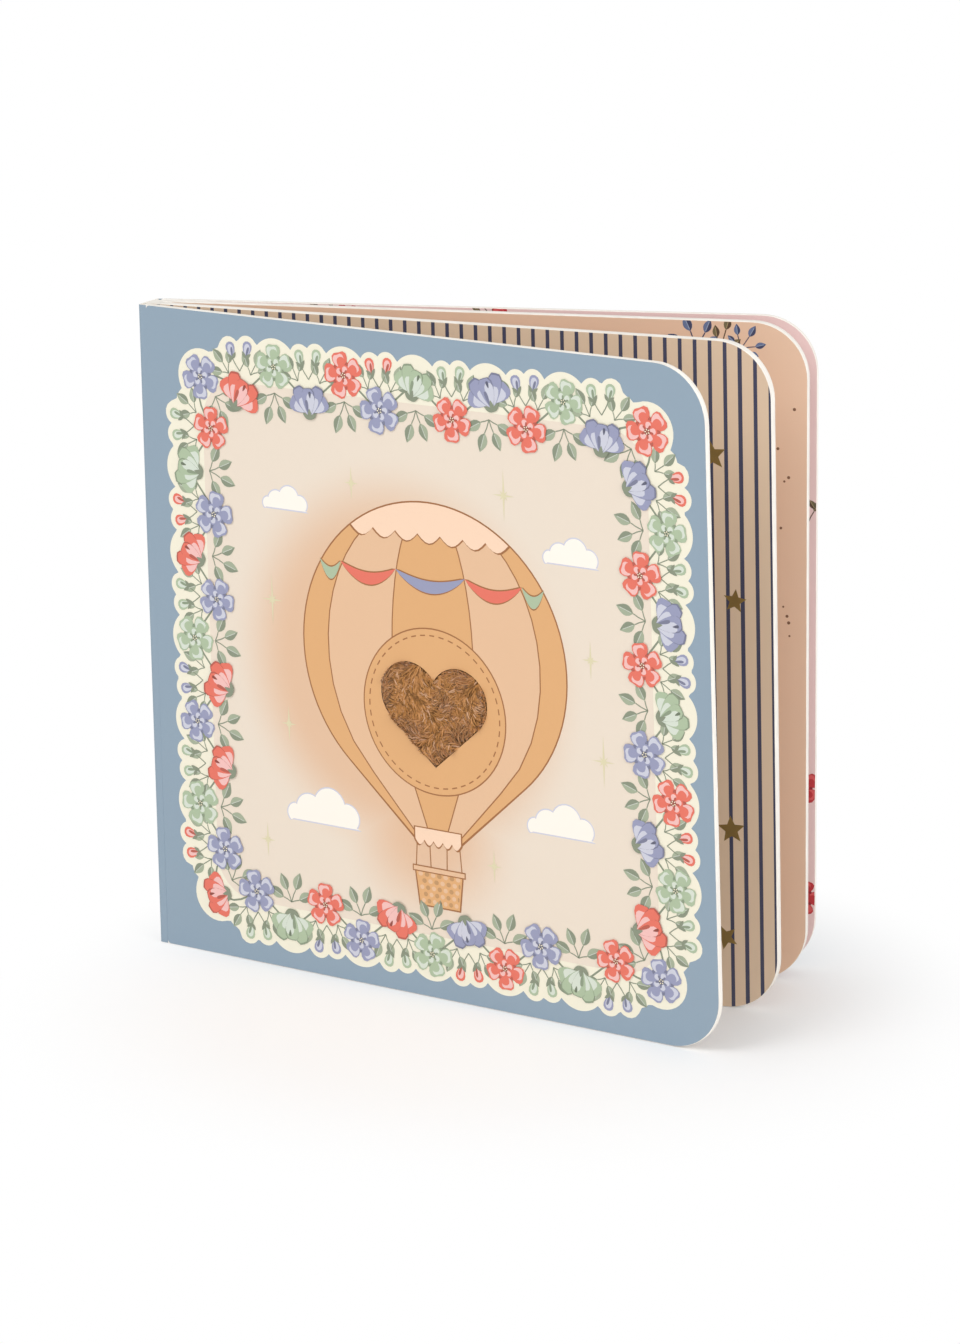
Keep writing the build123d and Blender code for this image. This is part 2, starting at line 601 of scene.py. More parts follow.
def side_blossom(name, inks):
    """A blossom seen from the side: a cup of petals, two falling ones and a green base."""
    pale, plain, deep, dark = inks
    shapes = []

    def petal(long, wide, angle, across, up, ink, level):
        outline = turned(petal_outline(long * MM, wide * MM, 0.06), angle, across * MM, up * MM)
        shapes.append(cut_paper(name, outline, ink, layer(level)))

    for level, (ink, size) in enumerate(((plain, 1.0), (pale, 0.74)), start=1):
        petal(6.0 * size, 5.0 * size, 1.05, -0.6, -2.4, ink, level)
        petal(6.0 * size, 5.0 * size, -1.05, 0.6, -2.4, ink, level + 0.3)
    for level, (ink, size) in enumerate(((deep, 1.0), (plain, 0.94), (pale, 0.6)), start=3):
        petal(8.0 * size, 4.6 * size, 0.42, -0.4, -3.2, ink, level)
        petal(8.0 * size, 4.6 * size, -0.42, 0.4, -3.2, ink, level + 0.3)
    petal(7.4, 4.9, 0, 0, -3.6, deep, 6)
    petal(7.1, 4.5, 0.03, 0, -3.5, plain, 7)
    petal(5.4, 3.0, -0.08, 0.3, -3.0, pale, 8)
    petal(3.6, 1.1, 0.1, -0.4, -2.9, deep, 9)
    petal(1.7, 0.9, 0, 0.5, 0.9, dark, 9.3)
    green = leaf_inks()
    for angle in (0.9, 0.0, -0.9):
        outline = turned(leaf_outline(2.7 * MM, 1.1 * MM), angle, 0, -4.3 * MM)
        shapes.append(cut_paper(name, outline, green[1], layer(10 + abs(angle) / 3)))
    return join(name, shapes)


def leaf_inks():
    base = bpy.context.scene.book_ink.leaf
    return printed("leaf", base), printed("leaf_deep", shade(base, 0.66)), printed(
        "leaf_pale", shade(base, 1.4)
    )


def leaf_spray(name, places, inks=None):
    """Leaves on a short stem; each place is (across, up, degrees, length)."""
    plain, deep, pale = inks or leaf_inks()
    shapes = []
    for across, up, angle, long in places:
        wide = 0.56 * long
        turn = radians(angle)
        spot = (across * MM, up * MM)
        stem = stroke_outline([(0.0, 0.0), (0.5 * spot[0], 0.6 * spot[1]), spot], 0.28 * MM)
        shapes.append(cut_paper(name, stem, deep, layer(1)))
        whole = turned(leaf_outline(long * MM, wide * MM), turn, *spot)
        half = turned(half_leaf_outline(long * MM, wide * MM), turn, *spot)
        rib = stroke_outline([(0.0, 0.12 * long * MM), (0.0, 0.8 * long * MM)], 0.16 * MM)
        shapes.append(cut_paper(name, whole, plain, layer(2)))
        shapes.append(cut_paper(name, half, deep, layer(3)))
        shapes.append(cut_paper(name, turned(rib, turn, *spot), pale, layer(4)))
    return join(name, shapes)


def bud_pair(name, inks):
    """Two closed buds on one forked stem."""
    pale, plain, deep, _ = inks
    green = leaf_inks()
    shapes = []
    for across, up, angle in ((-2.1, 2.9, 14), (2.0, 3.4, -12)):
        spot = (across * MM, up * MM)
        turn = radians(angle)
        stem = stroke_outline([(0.0, 0.0), (0.55 * spot[0], 0.5 * spot[1]), spot], 0.26 * MM)
        shapes.append(cut_paper(name, stem, green[1], layer(1)))
        body = turned(petal_outline(4.3 * MM, 3.5 * MM), turn, *spot)
        inner = turned(petal_outline(3.7 * MM, 2.2 * MM), turn, *spot)
        fold = turned(petal_outline(3.0 * MM, 0.9 * MM), turn - 0.14, *spot)
        shapes.append(cut_paper(name, body, plain, layer(2)))
        shapes.append(cut_paper(name, inner, pale, layer(3)))
        shapes.append(cut_paper(name, fold, deep, layer(4)))
        for side in (0.75, -0.75):
            cup = turned(leaf_outline(2.0 * MM, 0.9 * MM), turn + side, *spot)
            shapes.append(cut_paper(name, cup, green[1], layer(5 + side / 3)))
    return join(name, shapes)


# The garland runs round the cover on a rounded square. along() gives a point of it from the
# distance round it and the distance outwards from it.
GARLAND_LEFT = 18.5 * MM
GARLAND_RIGHT = 154.6 * MM
GARLAND_LOW = 15.6 * MM
GARLAND_HIGH = 153.9 * MM
GARLAND_CORNER = 12 * MM


def garland_sides():
    """(corner centre across, up, start angle, straight run after the corner) of each corner."""
    wide = GARLAND_RIGHT - GARLAND_LEFT - 2 * GARLAND_CORNER
    tall = GARLAND_HIGH - GARLAND_LOW - 2 * GARLAND_CORNER
    right, left = GARLAND_RIGHT - GARLAND_CORNER, GARLAND_LEFT + GARLAND_CORNER
    low, high = GARLAND_LOW + GARLAND_CORNER, GARLAND_HIGH - GARLAND_CORNER
    return (
        (right, low, -90, tall),
        (right, high, 0, wide),
        (left, high, 90, tall),
        (left, low, 180, wide),
    )


def garland_length():
    return sum(side[3] for side in garland_sides()) + 2 * pi * GARLAND_CORNER


def along(distance, outwards):
    """(across, up, outward angle) at a distance round the garland."""
    distance %= garland_length()
    bend = pi / 2 * GARLAND_CORNER
    for centre_across, centre_up, start, straight in garland_sides():
        if distance <= bend:
            angle = radians(start) + distance / GARLAND_CORNER
            reach = GARLAND_CORNER + outwards
            return centre_across + reach * cos(angle), centre_up + reach * sin(angle), angle
        distance -= bend
        if distance <= straight:
            angle = radians(start + 90)
            reach = GARLAND_CORNER + outwards
            across = centre_across + reach * cos(angle) - distance * sin(angle)
            up = centre_up + reach * sin(angle) + distance * cos(angle)
            return across, up, angle
        distance -= straight
    return along(0.0, outwards)


BLOSSOMS_PER_SIDE = 12
BLOSSOM_COLOURS = "pcspcpsc"


def blossom_places():
    """Distance round the garland of every blossom, the first of each side on a corner."""
    places = []
    bend = pi / 2 * GARLAND_CORNER
    distance = bend / 2
    for side in garland_sides():
        step = (bend + side[3]) / BLOSSOMS_PER_SIDE
        for _ in range(BLOSSOMS_PER_SIDE):
            places.append(distance)
            distance += step
    return places


def garland_patterns():
    ink = bpy.context.scene.book_ink
    inks = {
        "c": tones("coral", ink.coral),
        "p": tones("periwinkle", ink.periwinkle),
        "s": tones("sage", ink.sage),
    }
    patterns = {}
    for key, family in inks.items():
        patterns["open", key] = open_blossom(f"open_{key}", family)
        patterns["side", key] = side_blossom(f"side_{key}", family)
        patterns["bud", key] = bud_pair(f"bud_{key}", family)
    patterns["leaves"] = leaf_spray(
        "leaves", ((-2.4, 1.0, 64, 5.2), (2.4, 0.8, -62, 5.0), (-1.2, 3.0, 24, 4.8), (1.4, 3.4, -18, 5.1))
    )
    patterns["sprig"] = leaf_spray(
        "sprig", ((-1.6, 1.4, 50, 4.7), (1.7, 2.0, -42, 4.5), (0.2, 3.4, 6, 4.9))
    )
    return patterns


def make_garland(patterns):
    """Blossoms in and out by turns, with buds outside and leaf sprays inside them."""
    shapes, bumps = [], []
    places = blossom_places()
    for index, distance in enumerate(places):
        key = BLOSSOM_COLOURS[index % len(BLOSSOM_COLOURS)]
        next_key = BLOSSOM_COLOURS[(index + 1) % len(BLOSSOM_COLOURS)]
        outer = index % 2 == 0
        across, up, angle = along(distance, 4.0 * MM if outer else -3.7 * MM)
        kind = "side" if index % 5 in (1, 3) else "open"
        upright = angle - pi / 2
        turn = upright + (0.5 * sin(2.4 * index) if kind == "side" else 2.4 * index)
        size = 0.97 + 0.04 * sin(1.7 * index) + (0.1 if kind == "side" else 0)
        y = layer(7 if outer else 21)
        shapes.append(stamp(patterns[kind, key], across, up, turn, size, y))
        if outer:
            bumps.append((across, up, 7.2 * MM))
            across, up, angle = along(distance, -2.6 * MM)
            inward = angle + pi / 2
            shapes.append(stamp(patterns["leaves"], across, up, inward, 1.0, layer(2)))
            continue
        # Outside an inner blossom: a pair of buds with leaves at its foot.
        across, up, angle = along(distance, 1.9 * MM)
        shapes.append(stamp(patterns["bud", next_key], across, up, angle - pi / 2, 1.02, layer(2)))
        for sideways, outwards, radius in ((-2.6, 7.4, 3.2), (2.4, 7.9, 3.2), (0, 5.0, 3.5)):
            place = along(distance - sideways * MM, outwards * MM)
            bumps.append((place[0], place[1], radius * MM))
        for side in (-1, 1):
            across, up, angle = along(distance + side * 3.4 * MM, 1.2 * MM)
            lean = angle - pi / 2 + side * 0.5
            shapes.append(stamp(patterns["sprig"], across, up, lean, 0.92, layer(0.6 + side / 3)))
            place = along(distance + side * 4.9 * MM, 4.4 * MM)
            bumps.append((place[0], place[1], 3.6 * MM))
    return shapes, bumps


def scalloped_outline(bumps):
    """The cream margin: as far out as the furthest motif on each line out of the garland."""
    points = []
    total = garland_length()
    count = 800
    for step in range(count):
        across, up, angle = along(total * step / count, 0.0)
        out = (cos(angle), sin(angle))
        far = 4.0 * MM
        for bump_across, bump_up, radius in bumps:
            away = (bump_across - across, bump_up - up)
            if abs(away[0]) + abs(away[1]) > 24 * MM:
                continue
            ahead = away[0] * out[0] + away[1] * out[1]
            under = radius**2 - away[0] ** 2 - away[1] ** 2 + ahead**2
            if under > 0:
                far = max(far, ahead + sqrt(under))
        points.append((across + far * out[0], up + far * out[1]))
    return points


def vine(material):
    """A thin stem that winds through the blossoms."""
    shapes = []
    places = blossom_places()
    for index, distance in enumerate(places):
        end = places[(index + 1) % len(places)]
        run = (end - distance) % garland_length()
        path = []
        for step in range(7):
            share = step / 6
            sway = (1 if index % 2 == 0 else -1) * cos(pi * share) * 3.0 * MM
            path.append(along(distance + run * share, sway)[:2])
        y = layer(1 + 0.25 * (index % 2))
        shapes.append(cut_paper("vine", stroke_outline(path, 0.5 * MM), material, y))
    return shapes


# ---------------------------------------------------------------- balloon

BALLOON_ACROSS = HEART_FROM_CREASE
BALLOON_UP = 89 * MM
BALLOON_RADIUS = 39.5 * MM
BALLOON_TANGENT = 48
MEDALLION_UP = 75.4 * MM
MEDALLION_RADIUS = 21.2 * MM
THROAT_HALF = 6.5 * MM


def throat_up():
    """Height of the throat, where the straight sides that touch the round top end."""
    angle = radians(BALLOON_TANGENT)
    drop = (BALLOON_RADIUS * cos(angle) - THROAT_HALF) / tan(angle)
    return BALLOON_UP - BALLOON_RADIUS * sin(angle) - drop


def envelope_half_width(up):
    """Half of the balloon's width at a height."""
    touch_up = BALLOON_UP - BALLOON_RADIUS * sin(radians(BALLOON_TANGENT))
    if up >= touch_up:
        return sqrt(max(BALLOON_RADIUS**2 - (up - BALLOON_UP) ** 2, 0.0))
    return THROAT_HALF + (up - throat_up()) * tan(radians(BALLOON_TANGENT))


def envelope_outline(grow=0.0):
    sides = arc(
        BALLOON_ACROSS, BALLOON_UP, BALLOON_RADIUS + grow, -BALLOON_TANGENT, 180 + BALLOON_TANGENT, 72
    )
    low = throat_up() - grow
    return sides + [
        (BALLOON_ACROSS - THROAT_HALF - grow, low),
        (BALLOON_ACROSS + THROAT_HALF + grow, low),
    ]


def meridian(share, low, high, steps=18):
    """Points up the balloon at a share of its half width."""
    points = []
    for step in range(steps + 1):
        # Closer together near the crown, where the seam turns quickly.
        up = low + (high - low) * sin(pi / 2 * step / steps)
        points.append((BALLOON_ACROSS + share * envelope_half_width(up), up))
    return points


def scallops(left, right, up, depth, count, top):
    """A strip with a straight top edge and a scalloped lower one."""
    points = [(right, top), (left, top)]
    for scallop in range(count):
        for step in range(7):
            if scallop and not step:
                continue
            share = (scallop + step / 6) / count
            points.append((left + (right - left) * share, up - depth * sin(pi * step / 6)))
    return points


def crown_outline(low, depth, count):
    """Cap over the balloon's crown with a scalloped lower edge."""
    half = envelope_half_width(low)
    lift = degrees(asin((low - BALLOON_UP) / BALLOON_RADIUS))
    points = arc(BALLOON_ACROSS, BALLOON_UP, BALLOON_RADIUS, lift, 180 - lift, 20)
    for scallop in range(count):
        for step in range(7):
            if not step:
                continue
            share = (scallop + step / 6) / count
            if share >= 1:
                continue
            across = BALLOON_ACROSS - half + 2 * half * share
            points.append((across, low - depth * sin(pi * step / 6)))
    return points


def punch_heart(one, heart, material_mode="INDEX"):
    """Cut the heart-shaped hole through a piece with thickness."""
    apply_modifier(
        one,
        "BOOLEAN",
        object=heart,
        operation="DIFFERENCE",
        solver="EXACT",
        material_mode=material_mode,
    )


def heart_cutter(inset=0.0, low=-1.0 * MM, high=POCKET_DEPTH):
    wall = printed("pocket_wall", tint(176, 128, 84))
    cutter = cut_paper("heart_cutter", heart_outline(inset), wall, low)
    thicken(cutter, high - low)
    return cutter


BalloonInks = namedtuple("BalloonInks", "caramel toffee deep line blush coral periwinkle sage")
BASKET_RIM = 33.5 * MM
BASKET_FOOT = 24.5 * MM


def balloon_inks():
    """Colours that the balloon is printed in."""
    ink = bpy.context.scene.book_ink
    return BalloonInks(
        caramel=printed("caramel", ink.caramel),
        toffee=printed("caramel_pale", shade(ink.caramel, 1.16)),
        deep=printed("caramel_deep", shade(ink.caramel, 0.72)),
        line=printed("drawn_line", ink.outline),
        blush=printed("blush", ink.blush),
        coral=printed("coral", ink.coral),
        periwinkle=printed("periwinkle", ink.periwinkle),
        sage=printed("sage", ink.sage),
    )


def box_outline(half_wide, low, high):
    """Outline of a box that reaches as far to the left of 0 as to the right."""
    return [(-half_wide, low), (half_wide, low), (half_wide, high), (-half_wide, high)]


def tub_outline(rim_reach, foot_reach, foot_up):
    """Outline of the basket's tub, which is wider at its rim than at its foot."""
    left = [(-rim_reach, BASKET_RIM), (-foot_reach, foot_up)]
    right = [(foot_reach, foot_up), (rim_reach, BASKET_RIM)]
    return [(BALLOON_ACROSS + across, up) for across, up in left + right]


def draw_envelope(add, inks):
    """Skin of the balloon, with a pale gore on each side and the seams between gores."""
    add(envelope_outline(0.4 * MM), inks.line, 0, cut=True)
    add(envelope_outline(), inks.caramel, 1, cut=True)
    low, high = throat_up() + 0.5 * MM, BALLOON_UP + BALLOON_RADIUS - 0.4 * MM
    for side in (-1, 1):
        inner = meridian(side * 0.31, low, high)
        outer = meridian(side * 0.81, low, high)
        add(inner + list(reversed(outer)), inks.toffee, 2, cut=True)
        add(stroke_outline(inner, 0.32 * MM), inks.line, 3, cut=True)
        add(stroke_outline(outer, 0.32 * MM), inks.line, 3, cut=True)


def draw_medallion(add, inks):
    """Round patch for the heart, with running stitches inside its edge."""
    medallion = arc(BALLOON_ACROSS, MEDALLION_UP, MEDALLION_RADIUS, 0, 355, 71)
    rim = arc(BALLOON_ACROSS, MEDALLION_UP, MEDALLION_RADIUS + 0.35 * MM, 0, 355, 71)
    add(rim, inks.line, 4, cut=True)
    add(medallion, inks.caramel, 5, cut=True)
    for step in range(44):
        angle = 2 * pi * step / 44
        reach = MEDALLION_RADIUS - 1.6 * MM
        dash = box_outline(0.75 * MM, -0.17 * MM, 0.17 * MM)
        spot = (BALLOON_ACROSS + reach * cos(angle), MEDALLION_UP + reach * sin(angle))
        add(turned(dash, angle + pi / 2, *spot), inks.line, 6)


def draw_crown(add, inks):
    """Scalloped crown at the top."""
    crown_low = BALLOON_UP + 0.8 * BALLOON_RADIUS
    add(crown_outline(crown_low - 0.35 * MM, 2.2 * MM, 7), inks.line, 4.5)
    add(crown_outline(crown_low, 2.2 * MM, 7), inks.blush, 6)


def draw_swags(add, inks):
    """One hanging swag of bunting to each gore."""
    belt = BALLOON_UP + 0.52 * BALLOON_RADIUS
    half = envelope_half_width(belt)
    shares = (-1.0, -0.81, -0.31, 0.31, 0.81, 1.0)
    swag_inks = (inks.sage, inks.coral, inks.periwinkle, inks.coral, inks.sage)
    for swag_ink, start, end in zip(swag_inks, shares, shares[1:]):
        for grow, ink, level in ((0.35, inks.line, 4), (0.0, swag_ink, 5.5)):
            width = (end - start) * half
            middle = BALLOON_ACROSS + (start + end) / 2 * half
            points = []
            for step in range(17):
                share = step / 16
                across = middle - width / 2 + width * share
                points.append((across, belt + 1.2 * MM - (5.0 + grow) * MM * sin(pi * share) ** 0.8))
            for step in range(15, 0, -1):
                share = step / 16
                across = middle - width / 2 + width * share
                points.append((across, belt + (1.2 + grow) * MM - 1.9 * MM * sin(pi * share)))
            add(points, ink, level)


def draw_throat(add, inks):
    """Scalloped collar at the throat, and the ropes down to the basket."""
    throat = throat_up()
    for reach, low, bulge, high, ink, level in (
        (7.3 * MM, throat - 0.3 * MM, 1.5 * MM, throat + 3.3 * MM, inks.line, 4),
        (6.9 * MM, throat, 1.4 * MM, throat + 3.0 * MM, inks.blush, 6),
    ):
        add(scallops(BALLOON_ACROSS - reach, BALLOON_ACROSS + reach, low, bulge, 5, high), ink, level)
    for side in (-1, 1):
        for top_across, top_up, foot in ((6.4, throat - 0.2 * MM, 7.0), (2.6, throat - 1.2 * MM, 2.4)):
            path = [
                (BALLOON_ACROSS + side * top_across * MM, top_up),
                (BALLOON_ACROSS + side * foot * MM, BASKET_RIM),
            ]
            add(stroke_outline(path, 0.3 * MM), inks.line, 1)


def draw_basket(add, inks):
    """Basket of woven cane, with its rim."""
    add(tub_outline(7.4 * MM, 6.3 * MM, BASKET_FOOT - 0.4 * MM), inks.line, 2)
    add(tub_outline(7.0 * MM, 5.9 * MM, BASKET_FOOT), inks.caramel, 3)
    for row in range(5):
        up = BASKET_FOOT + (0.5 + 1.75 * row) * MM
        half = 5.7 + 1.1 * (up - BASKET_FOOT) / (BASKET_RIM - BASKET_FOOT)
        for column in range(7):
            across = -half + (column + 0.5 * (row % 2)) * half * 2 / 7 + 0.25
            wide = min(half * 2 / 7 - 0.45, half - across)
            if wide < 0.5:
                continue
            middle = BALLOON_ACROSS + (across + wide / 2) * MM
            cane = arc(0, 0, 0.62 * MM, 0, 345, 11)
            weave = [(middle + x * wide / 1.24, up + 0.6 * MM + z) for x, z in cane]
            add(weave, inks.deep if (row + column) % 2 else inks.toffee, 4)
    rim = box_outline(8.0 * MM, BASKET_RIM - 0.4 * MM, BASKET_RIM + 1.3 * MM)
    add([(BALLOON_ACROSS + across, up) for across, up in rim], inks.line, 5)
    rim = box_outline(7.7 * MM, BASKET_RIM - 0.1 * MM, BASKET_RIM + 1.0 * MM)
    add([(BALLOON_ACROSS + across, up) for across, up in rim], inks.toffee, 6)


def make_balloon(heart):
    """Hot-air balloon with a round patch that holds the plush heart, and a woven basket."""
    y = print_y(FRONT_COVER, 3)
    whole, plain = [], []

    def add(outline, ink, level, cut=False):
        shape = cut_paper("balloon", outline, ink, y + layer(level))
        (whole if cut else plain).append(shape)

    inks = balloon_inks()
    draw_envelope(add, inks)
    draw_medallion(add, inks)
    draw_crown(add, inks)
    draw_swags(add, inks)
    draw_throat(add, inks)
    draw_basket(add, inks)
    for shape in whole:
        slice_grid(shape)
        thicken(shape)
        punch_heart(shape, heart)
    rest = join("balloon_details", plain)
    slice_grid(rest)
    thicken(rest)
    return join("balloon", [*whole, rest])


# Round lobes of a cloud, from right to left: place, radius, and where each arc starts and ends.
CLOUD_LOBES = (
    (7.5, 2.6, 3.6, -40, 95),
    (2.0, 4.8, 4.8, 15, 150),
    (-4.4, 3.2, 4.0, 60, 170),
    (-8.6, 1.6, 2.6, 95, 230),
)


def make_clouds():
    """Four small clouds of paper white, each with a thin grey rim."""
    white = printed("cloud_white", tint(250, 243, 232))
    grey = printed("cloud_shade", tint(206, 206, 220))
    shapes = []
    y = print_y(FRONT_COVER, 3)
    for across, up, size in ((54, 41, 1.0), (126, 49, 0.86), (131, 118, 0.7), (45, 122, 0.62)):
        for grow, ink, level in ((0.35, grey, 0), (0.0, white, 1)):
            points = [((across + 11.5 * size + grow) * MM, (up - grow) * MM)]
            for lobe_across, lobe_up, radius, start, end in CLOUD_LOBES:
                centre = ((across + lobe_across * size) * MM, (up + lobe_up * size) * MM)
                points += arc(*centre, (radius * size + grow) * MM, start, end, 9)
            points.append(((across - 9.5 * size - grow) * MM, (up - grow) * MM))
            shapes.append(cut_paper("cloud", points, ink, y + layer(level)))
    return shapes


def make_sparkles():
    """Eight slender stars scattered over the field."""
    ink = printed("sparkle", bpy.context.scene.book_ink.sparkle)
    places = (
        (40, 98, 6.6), (44, 66, 4.6), (66, 131, 4.2), (112, 133, 6.4),
        (136, 95, 4.8), (139, 70, 6.6), (106, 38, 4.4), (36, 34, 4.6),
    )
    shapes = []
    for across, up, tall in places:
        y = print_y(FRONT_COVER, 5)
        spot = (across * MM, up * MM)
        long = turned(star_outline(4, tall * MM, 0.42 * MM, 0.5 * tall * MM), 0, *spot)
        short = turned(star_outline(4, 0.26 * tall * MM, 0.4 * MM), pi / 4, *spot)
        shapes.append(cut_paper("sparkle", long, ink, y))
        shapes.append(cut_paper("sparkle", short, ink, y + layer(0.4)))
    return shapes


# ---------------------------------------------------------------- boards


def make_core(board):
    """Bare board: its outline, thickness and softened rims."""
    core = cut_paper(f"{board.name}_core", board_outline(board.start), board_core(), board.front)
    thicken(core, board.back - board.front)
    apply_modifier(core, "BEVEL", width=0.22 * MM, segments=2, limit_method="ANGLE", angle_limit=0.7)
    slice_grid(core)
    return core


def board_core():
    return bpy.data.materials.get("board_core") or board_core_material()


def make_paper(board, name, material, facing, start=None):
    """Printed paper over one face of a board, a hair short of its edges."""
    outline = board_outline(board.start if start is None else start, 0.16 * MM)
    y = print_y(board, 0, facing)
    paper = cut_paper(name, outline, material, y, facing)
    slice_grid(paper)
    return paper


def stripe_paper(paper, material, first=3.75 * MM, pitch=3.85 * MM, wide=0.98 * MM):
    """Print upright stripes on a sheet of paper."""
    edit_all(paper)
    left = first
    while left < BOARD_WIDTH:
        for edge in (left, left + wide):
            bpy.ops.mesh.select_all(action="SELECT")
            bpy.ops.mesh.bisect(plane_co=(edge, 0, 0), plane_no=(1, 0, 0))
        left += pitch
    bpy.ops.object.mode_set(mode="OBJECT")
    paper.data.materials.append(material)
    for face in paper.data.polygons:
        if (face.center.x - first) % pitch < wide and face.center.x > first:
            face.material_index = 1


def smooth(one, angle=35):
    pick(one)
    bpy.ops.object.shade_smooth_by_angle(angle=radians(angle))


def scatter_stars(board, facing, places):
    """Gold five-pointed stars over the stripes; each place is (across, up, radius, degrees)."""
    foil = bpy.data.materials.get("gold_foil") or gold_material()
    shapes = []
    for across, up, radius, turn in places:
        outline = star_outline(5, radius * MM, 0.45 * radius * MM)
        outline = turned(outline, radians(turn), across * MM, up * MM)
        shapes.append(cut_paper("star", outline, foil, print_y(board, 1, facing), facing))
    stars = join(f"{board.name}_stars_{'front' if facing < 0 else 'back'}", shapes)
    thicken(stars)
    return stars


def star_places(seed, fore_edge=()):
    """Stars spread over a page in loose rows, and a few at given places near the fore-edge."""
    chance = random.Random(seed)
    places = list(fore_edge)
    for row in range(5):
        for column in range(5):
            across = 15 + 31 * column + (15 if row % 2 else 0) + chance.uniform(-5, 5)
            up = 14 + 34 * row + chance.uniform(-7, 7)
            if across > 148 or up > 162:
                continue
            if any(hypot(across - place[0], up - place[1]) < 16 for place in fore_edge):
                continue
            places.append((across, up, chance.uniform(2.3, 3.3), chance.uniform(-20, 20)))
    return places


def scatter_dots(board, facing, seed, count, ink):
    """Tiny seeds printed over a page."""
    chance = random.Random(seed)
    shapes = []
    for number in range(count):
        across, up = chance.uniform(8, 162), chance.uniform(6, 164)
        if number < 14:
            across, up = chance.uniform(158, 167), chance.uniform(90, 150)
        radius = chance.uniform(0.28, 0.5) * MM
        outline = arc(across * MM, up * MM, radius, 0, 315, 7)
        shapes.append(cut_paper("dot", outline, ink, print_y(board, 1, facing), facing))
    return shapes


def trim_to_page(one):
    """Cut off what a flat print has beyond the page's top edge and fore-edge."""
    edit_all(one)
    for place, outwards in (
        ((BOARD_WIDTH - 0.2 * MM, 0, 0), (1, 0, 0)),
        ((0, 0, BOARD_HEIGHT - 0.2 * MM), (0, 0, 1)),
    ):
        bpy.ops.mesh.select_all(action="SELECT")
        bpy.ops.mesh.bisect(plane_co=place, plane_no=outwards, clear_outer=True)
    bpy.ops.object.mode_set(mode="OBJECT")


# Leaves of the sprigs on the pages: place in mm, lean in degrees and length in mm.
BROAD_SPRIG = (
    (-3, 3, 40, 3.4),
    (0, 4.6, 4, 3.8),
    (3, 3.2, -42, 3.4),
    (-2.6, 0.8, 80, 2.8),
    (2.8, 0.9, -78, 2.8),
)
SLIM_SPRIG = (
    (-2.6, 2.2, 52, 3.6),
    (2.4, 3.6, -38, 3.4),
    (-1.4, 5.2, 20, 3.2),
    (0.4, 7.6, -4, 3.4),
)
# Sprigs on the peach page: which pattern, place in mm, turn in degrees, and size.
PEACH_SPRIGS = (
    ("blue", 142.4, 162.4, 20, 1.1),
    ("olive", 147.6, 160.4, -12, 1.0),
    ("blue", 153.2, 163.0, -34, 0.85),
    ("olive", 146, 118, 8, 1.0),
    ("blue", 148, 68, 14, 1.0),
    ("olive", 122, 96, 30, 1.1),
    ("blue", 104, 140, -12, 1.1),
    ("blue", 60, 30, 18, 1.1),
    ("olive", 44, 84, -24, 1.1),
    ("blue", 84, 72, 40, 1.1),
    ("olive", 72, 128, -10, 1.1),
    ("olive", 126, 40, 12, 1.1),
    ("blue", 28, 136, 22, 1.1),
)
# Stars near the first leaf's fore edge: place, size and turn.
FORE_EDGE_STARS = (
    (154.5, 141.7, 3.9, 8),
    (160.0, 105.7, 3.1, -6),
    (158.3, 47.0, 3.7, 4),
    (156.4, 18.6, 3.4, 26),
)


def olive_inks():
    """Plain, deep and pale ink of the olive sprigs."""
    return (
        printed("sprig_olive", tint(110, 100, 72)),
        printed("sprig_umber", tint(84, 66, 50)),
        printed("sprig_straw", tint(170, 152, 112)),
    )


def page_sprigs(board, pattern_places, name, level=1):
    """Stamped sprigs on a page's front side."""
    y = print_y(board, level)
    shapes = [
        stamp(pattern, across * MM, up * MM, radians(turn), size, y, 0.5)
        for pattern, across, up, turn, size in pattern_places
    ]
    sprigs = join(name, shapes)
    trim_to_page(sprigs)
    return sprigs


class BOOK_OT_front_cover(bpy.types.Operator):
    """Front cover: board with its heart pocket, blue paper outside and striped paper inside"""

    bl_idname = "book.front_cover"
    bl_label = "Front Cover"

    def execute(self, context):
        paper = context.scene.book_paper
        heart = heart_cutter()
        core = make_core(FRONT_COVER)
        punch_heart(core, heart, "TRANSFER")
        outside = make_paper(
            FRONT_COVER, "cover_paper", printed("cover_blue", paper.cover), -1, CREASE_PAPER - 0.16 * MM
        )
        thicken(outside, PAPER_THICKNESS)
        punch_heart(outside, heart)
        ground = printed("stripe_ground", paper.stripe_ground)
        inside = make_paper(FRONT_COVER, "cover_lining", ground, 1)
        stripe_paper(inside, printed("stripe_navy", paper.stripe))
        thicken(inside, PAPER_THICKNESS)
        stars = scatter_stars(FRONT_COVER, 1, star_places(5))
        discard([heart])
        smooth(core)
        seat([core, outside, inside, stars], FRONT_COVER)
        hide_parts("front_cover")
        return {"FINISHED"}


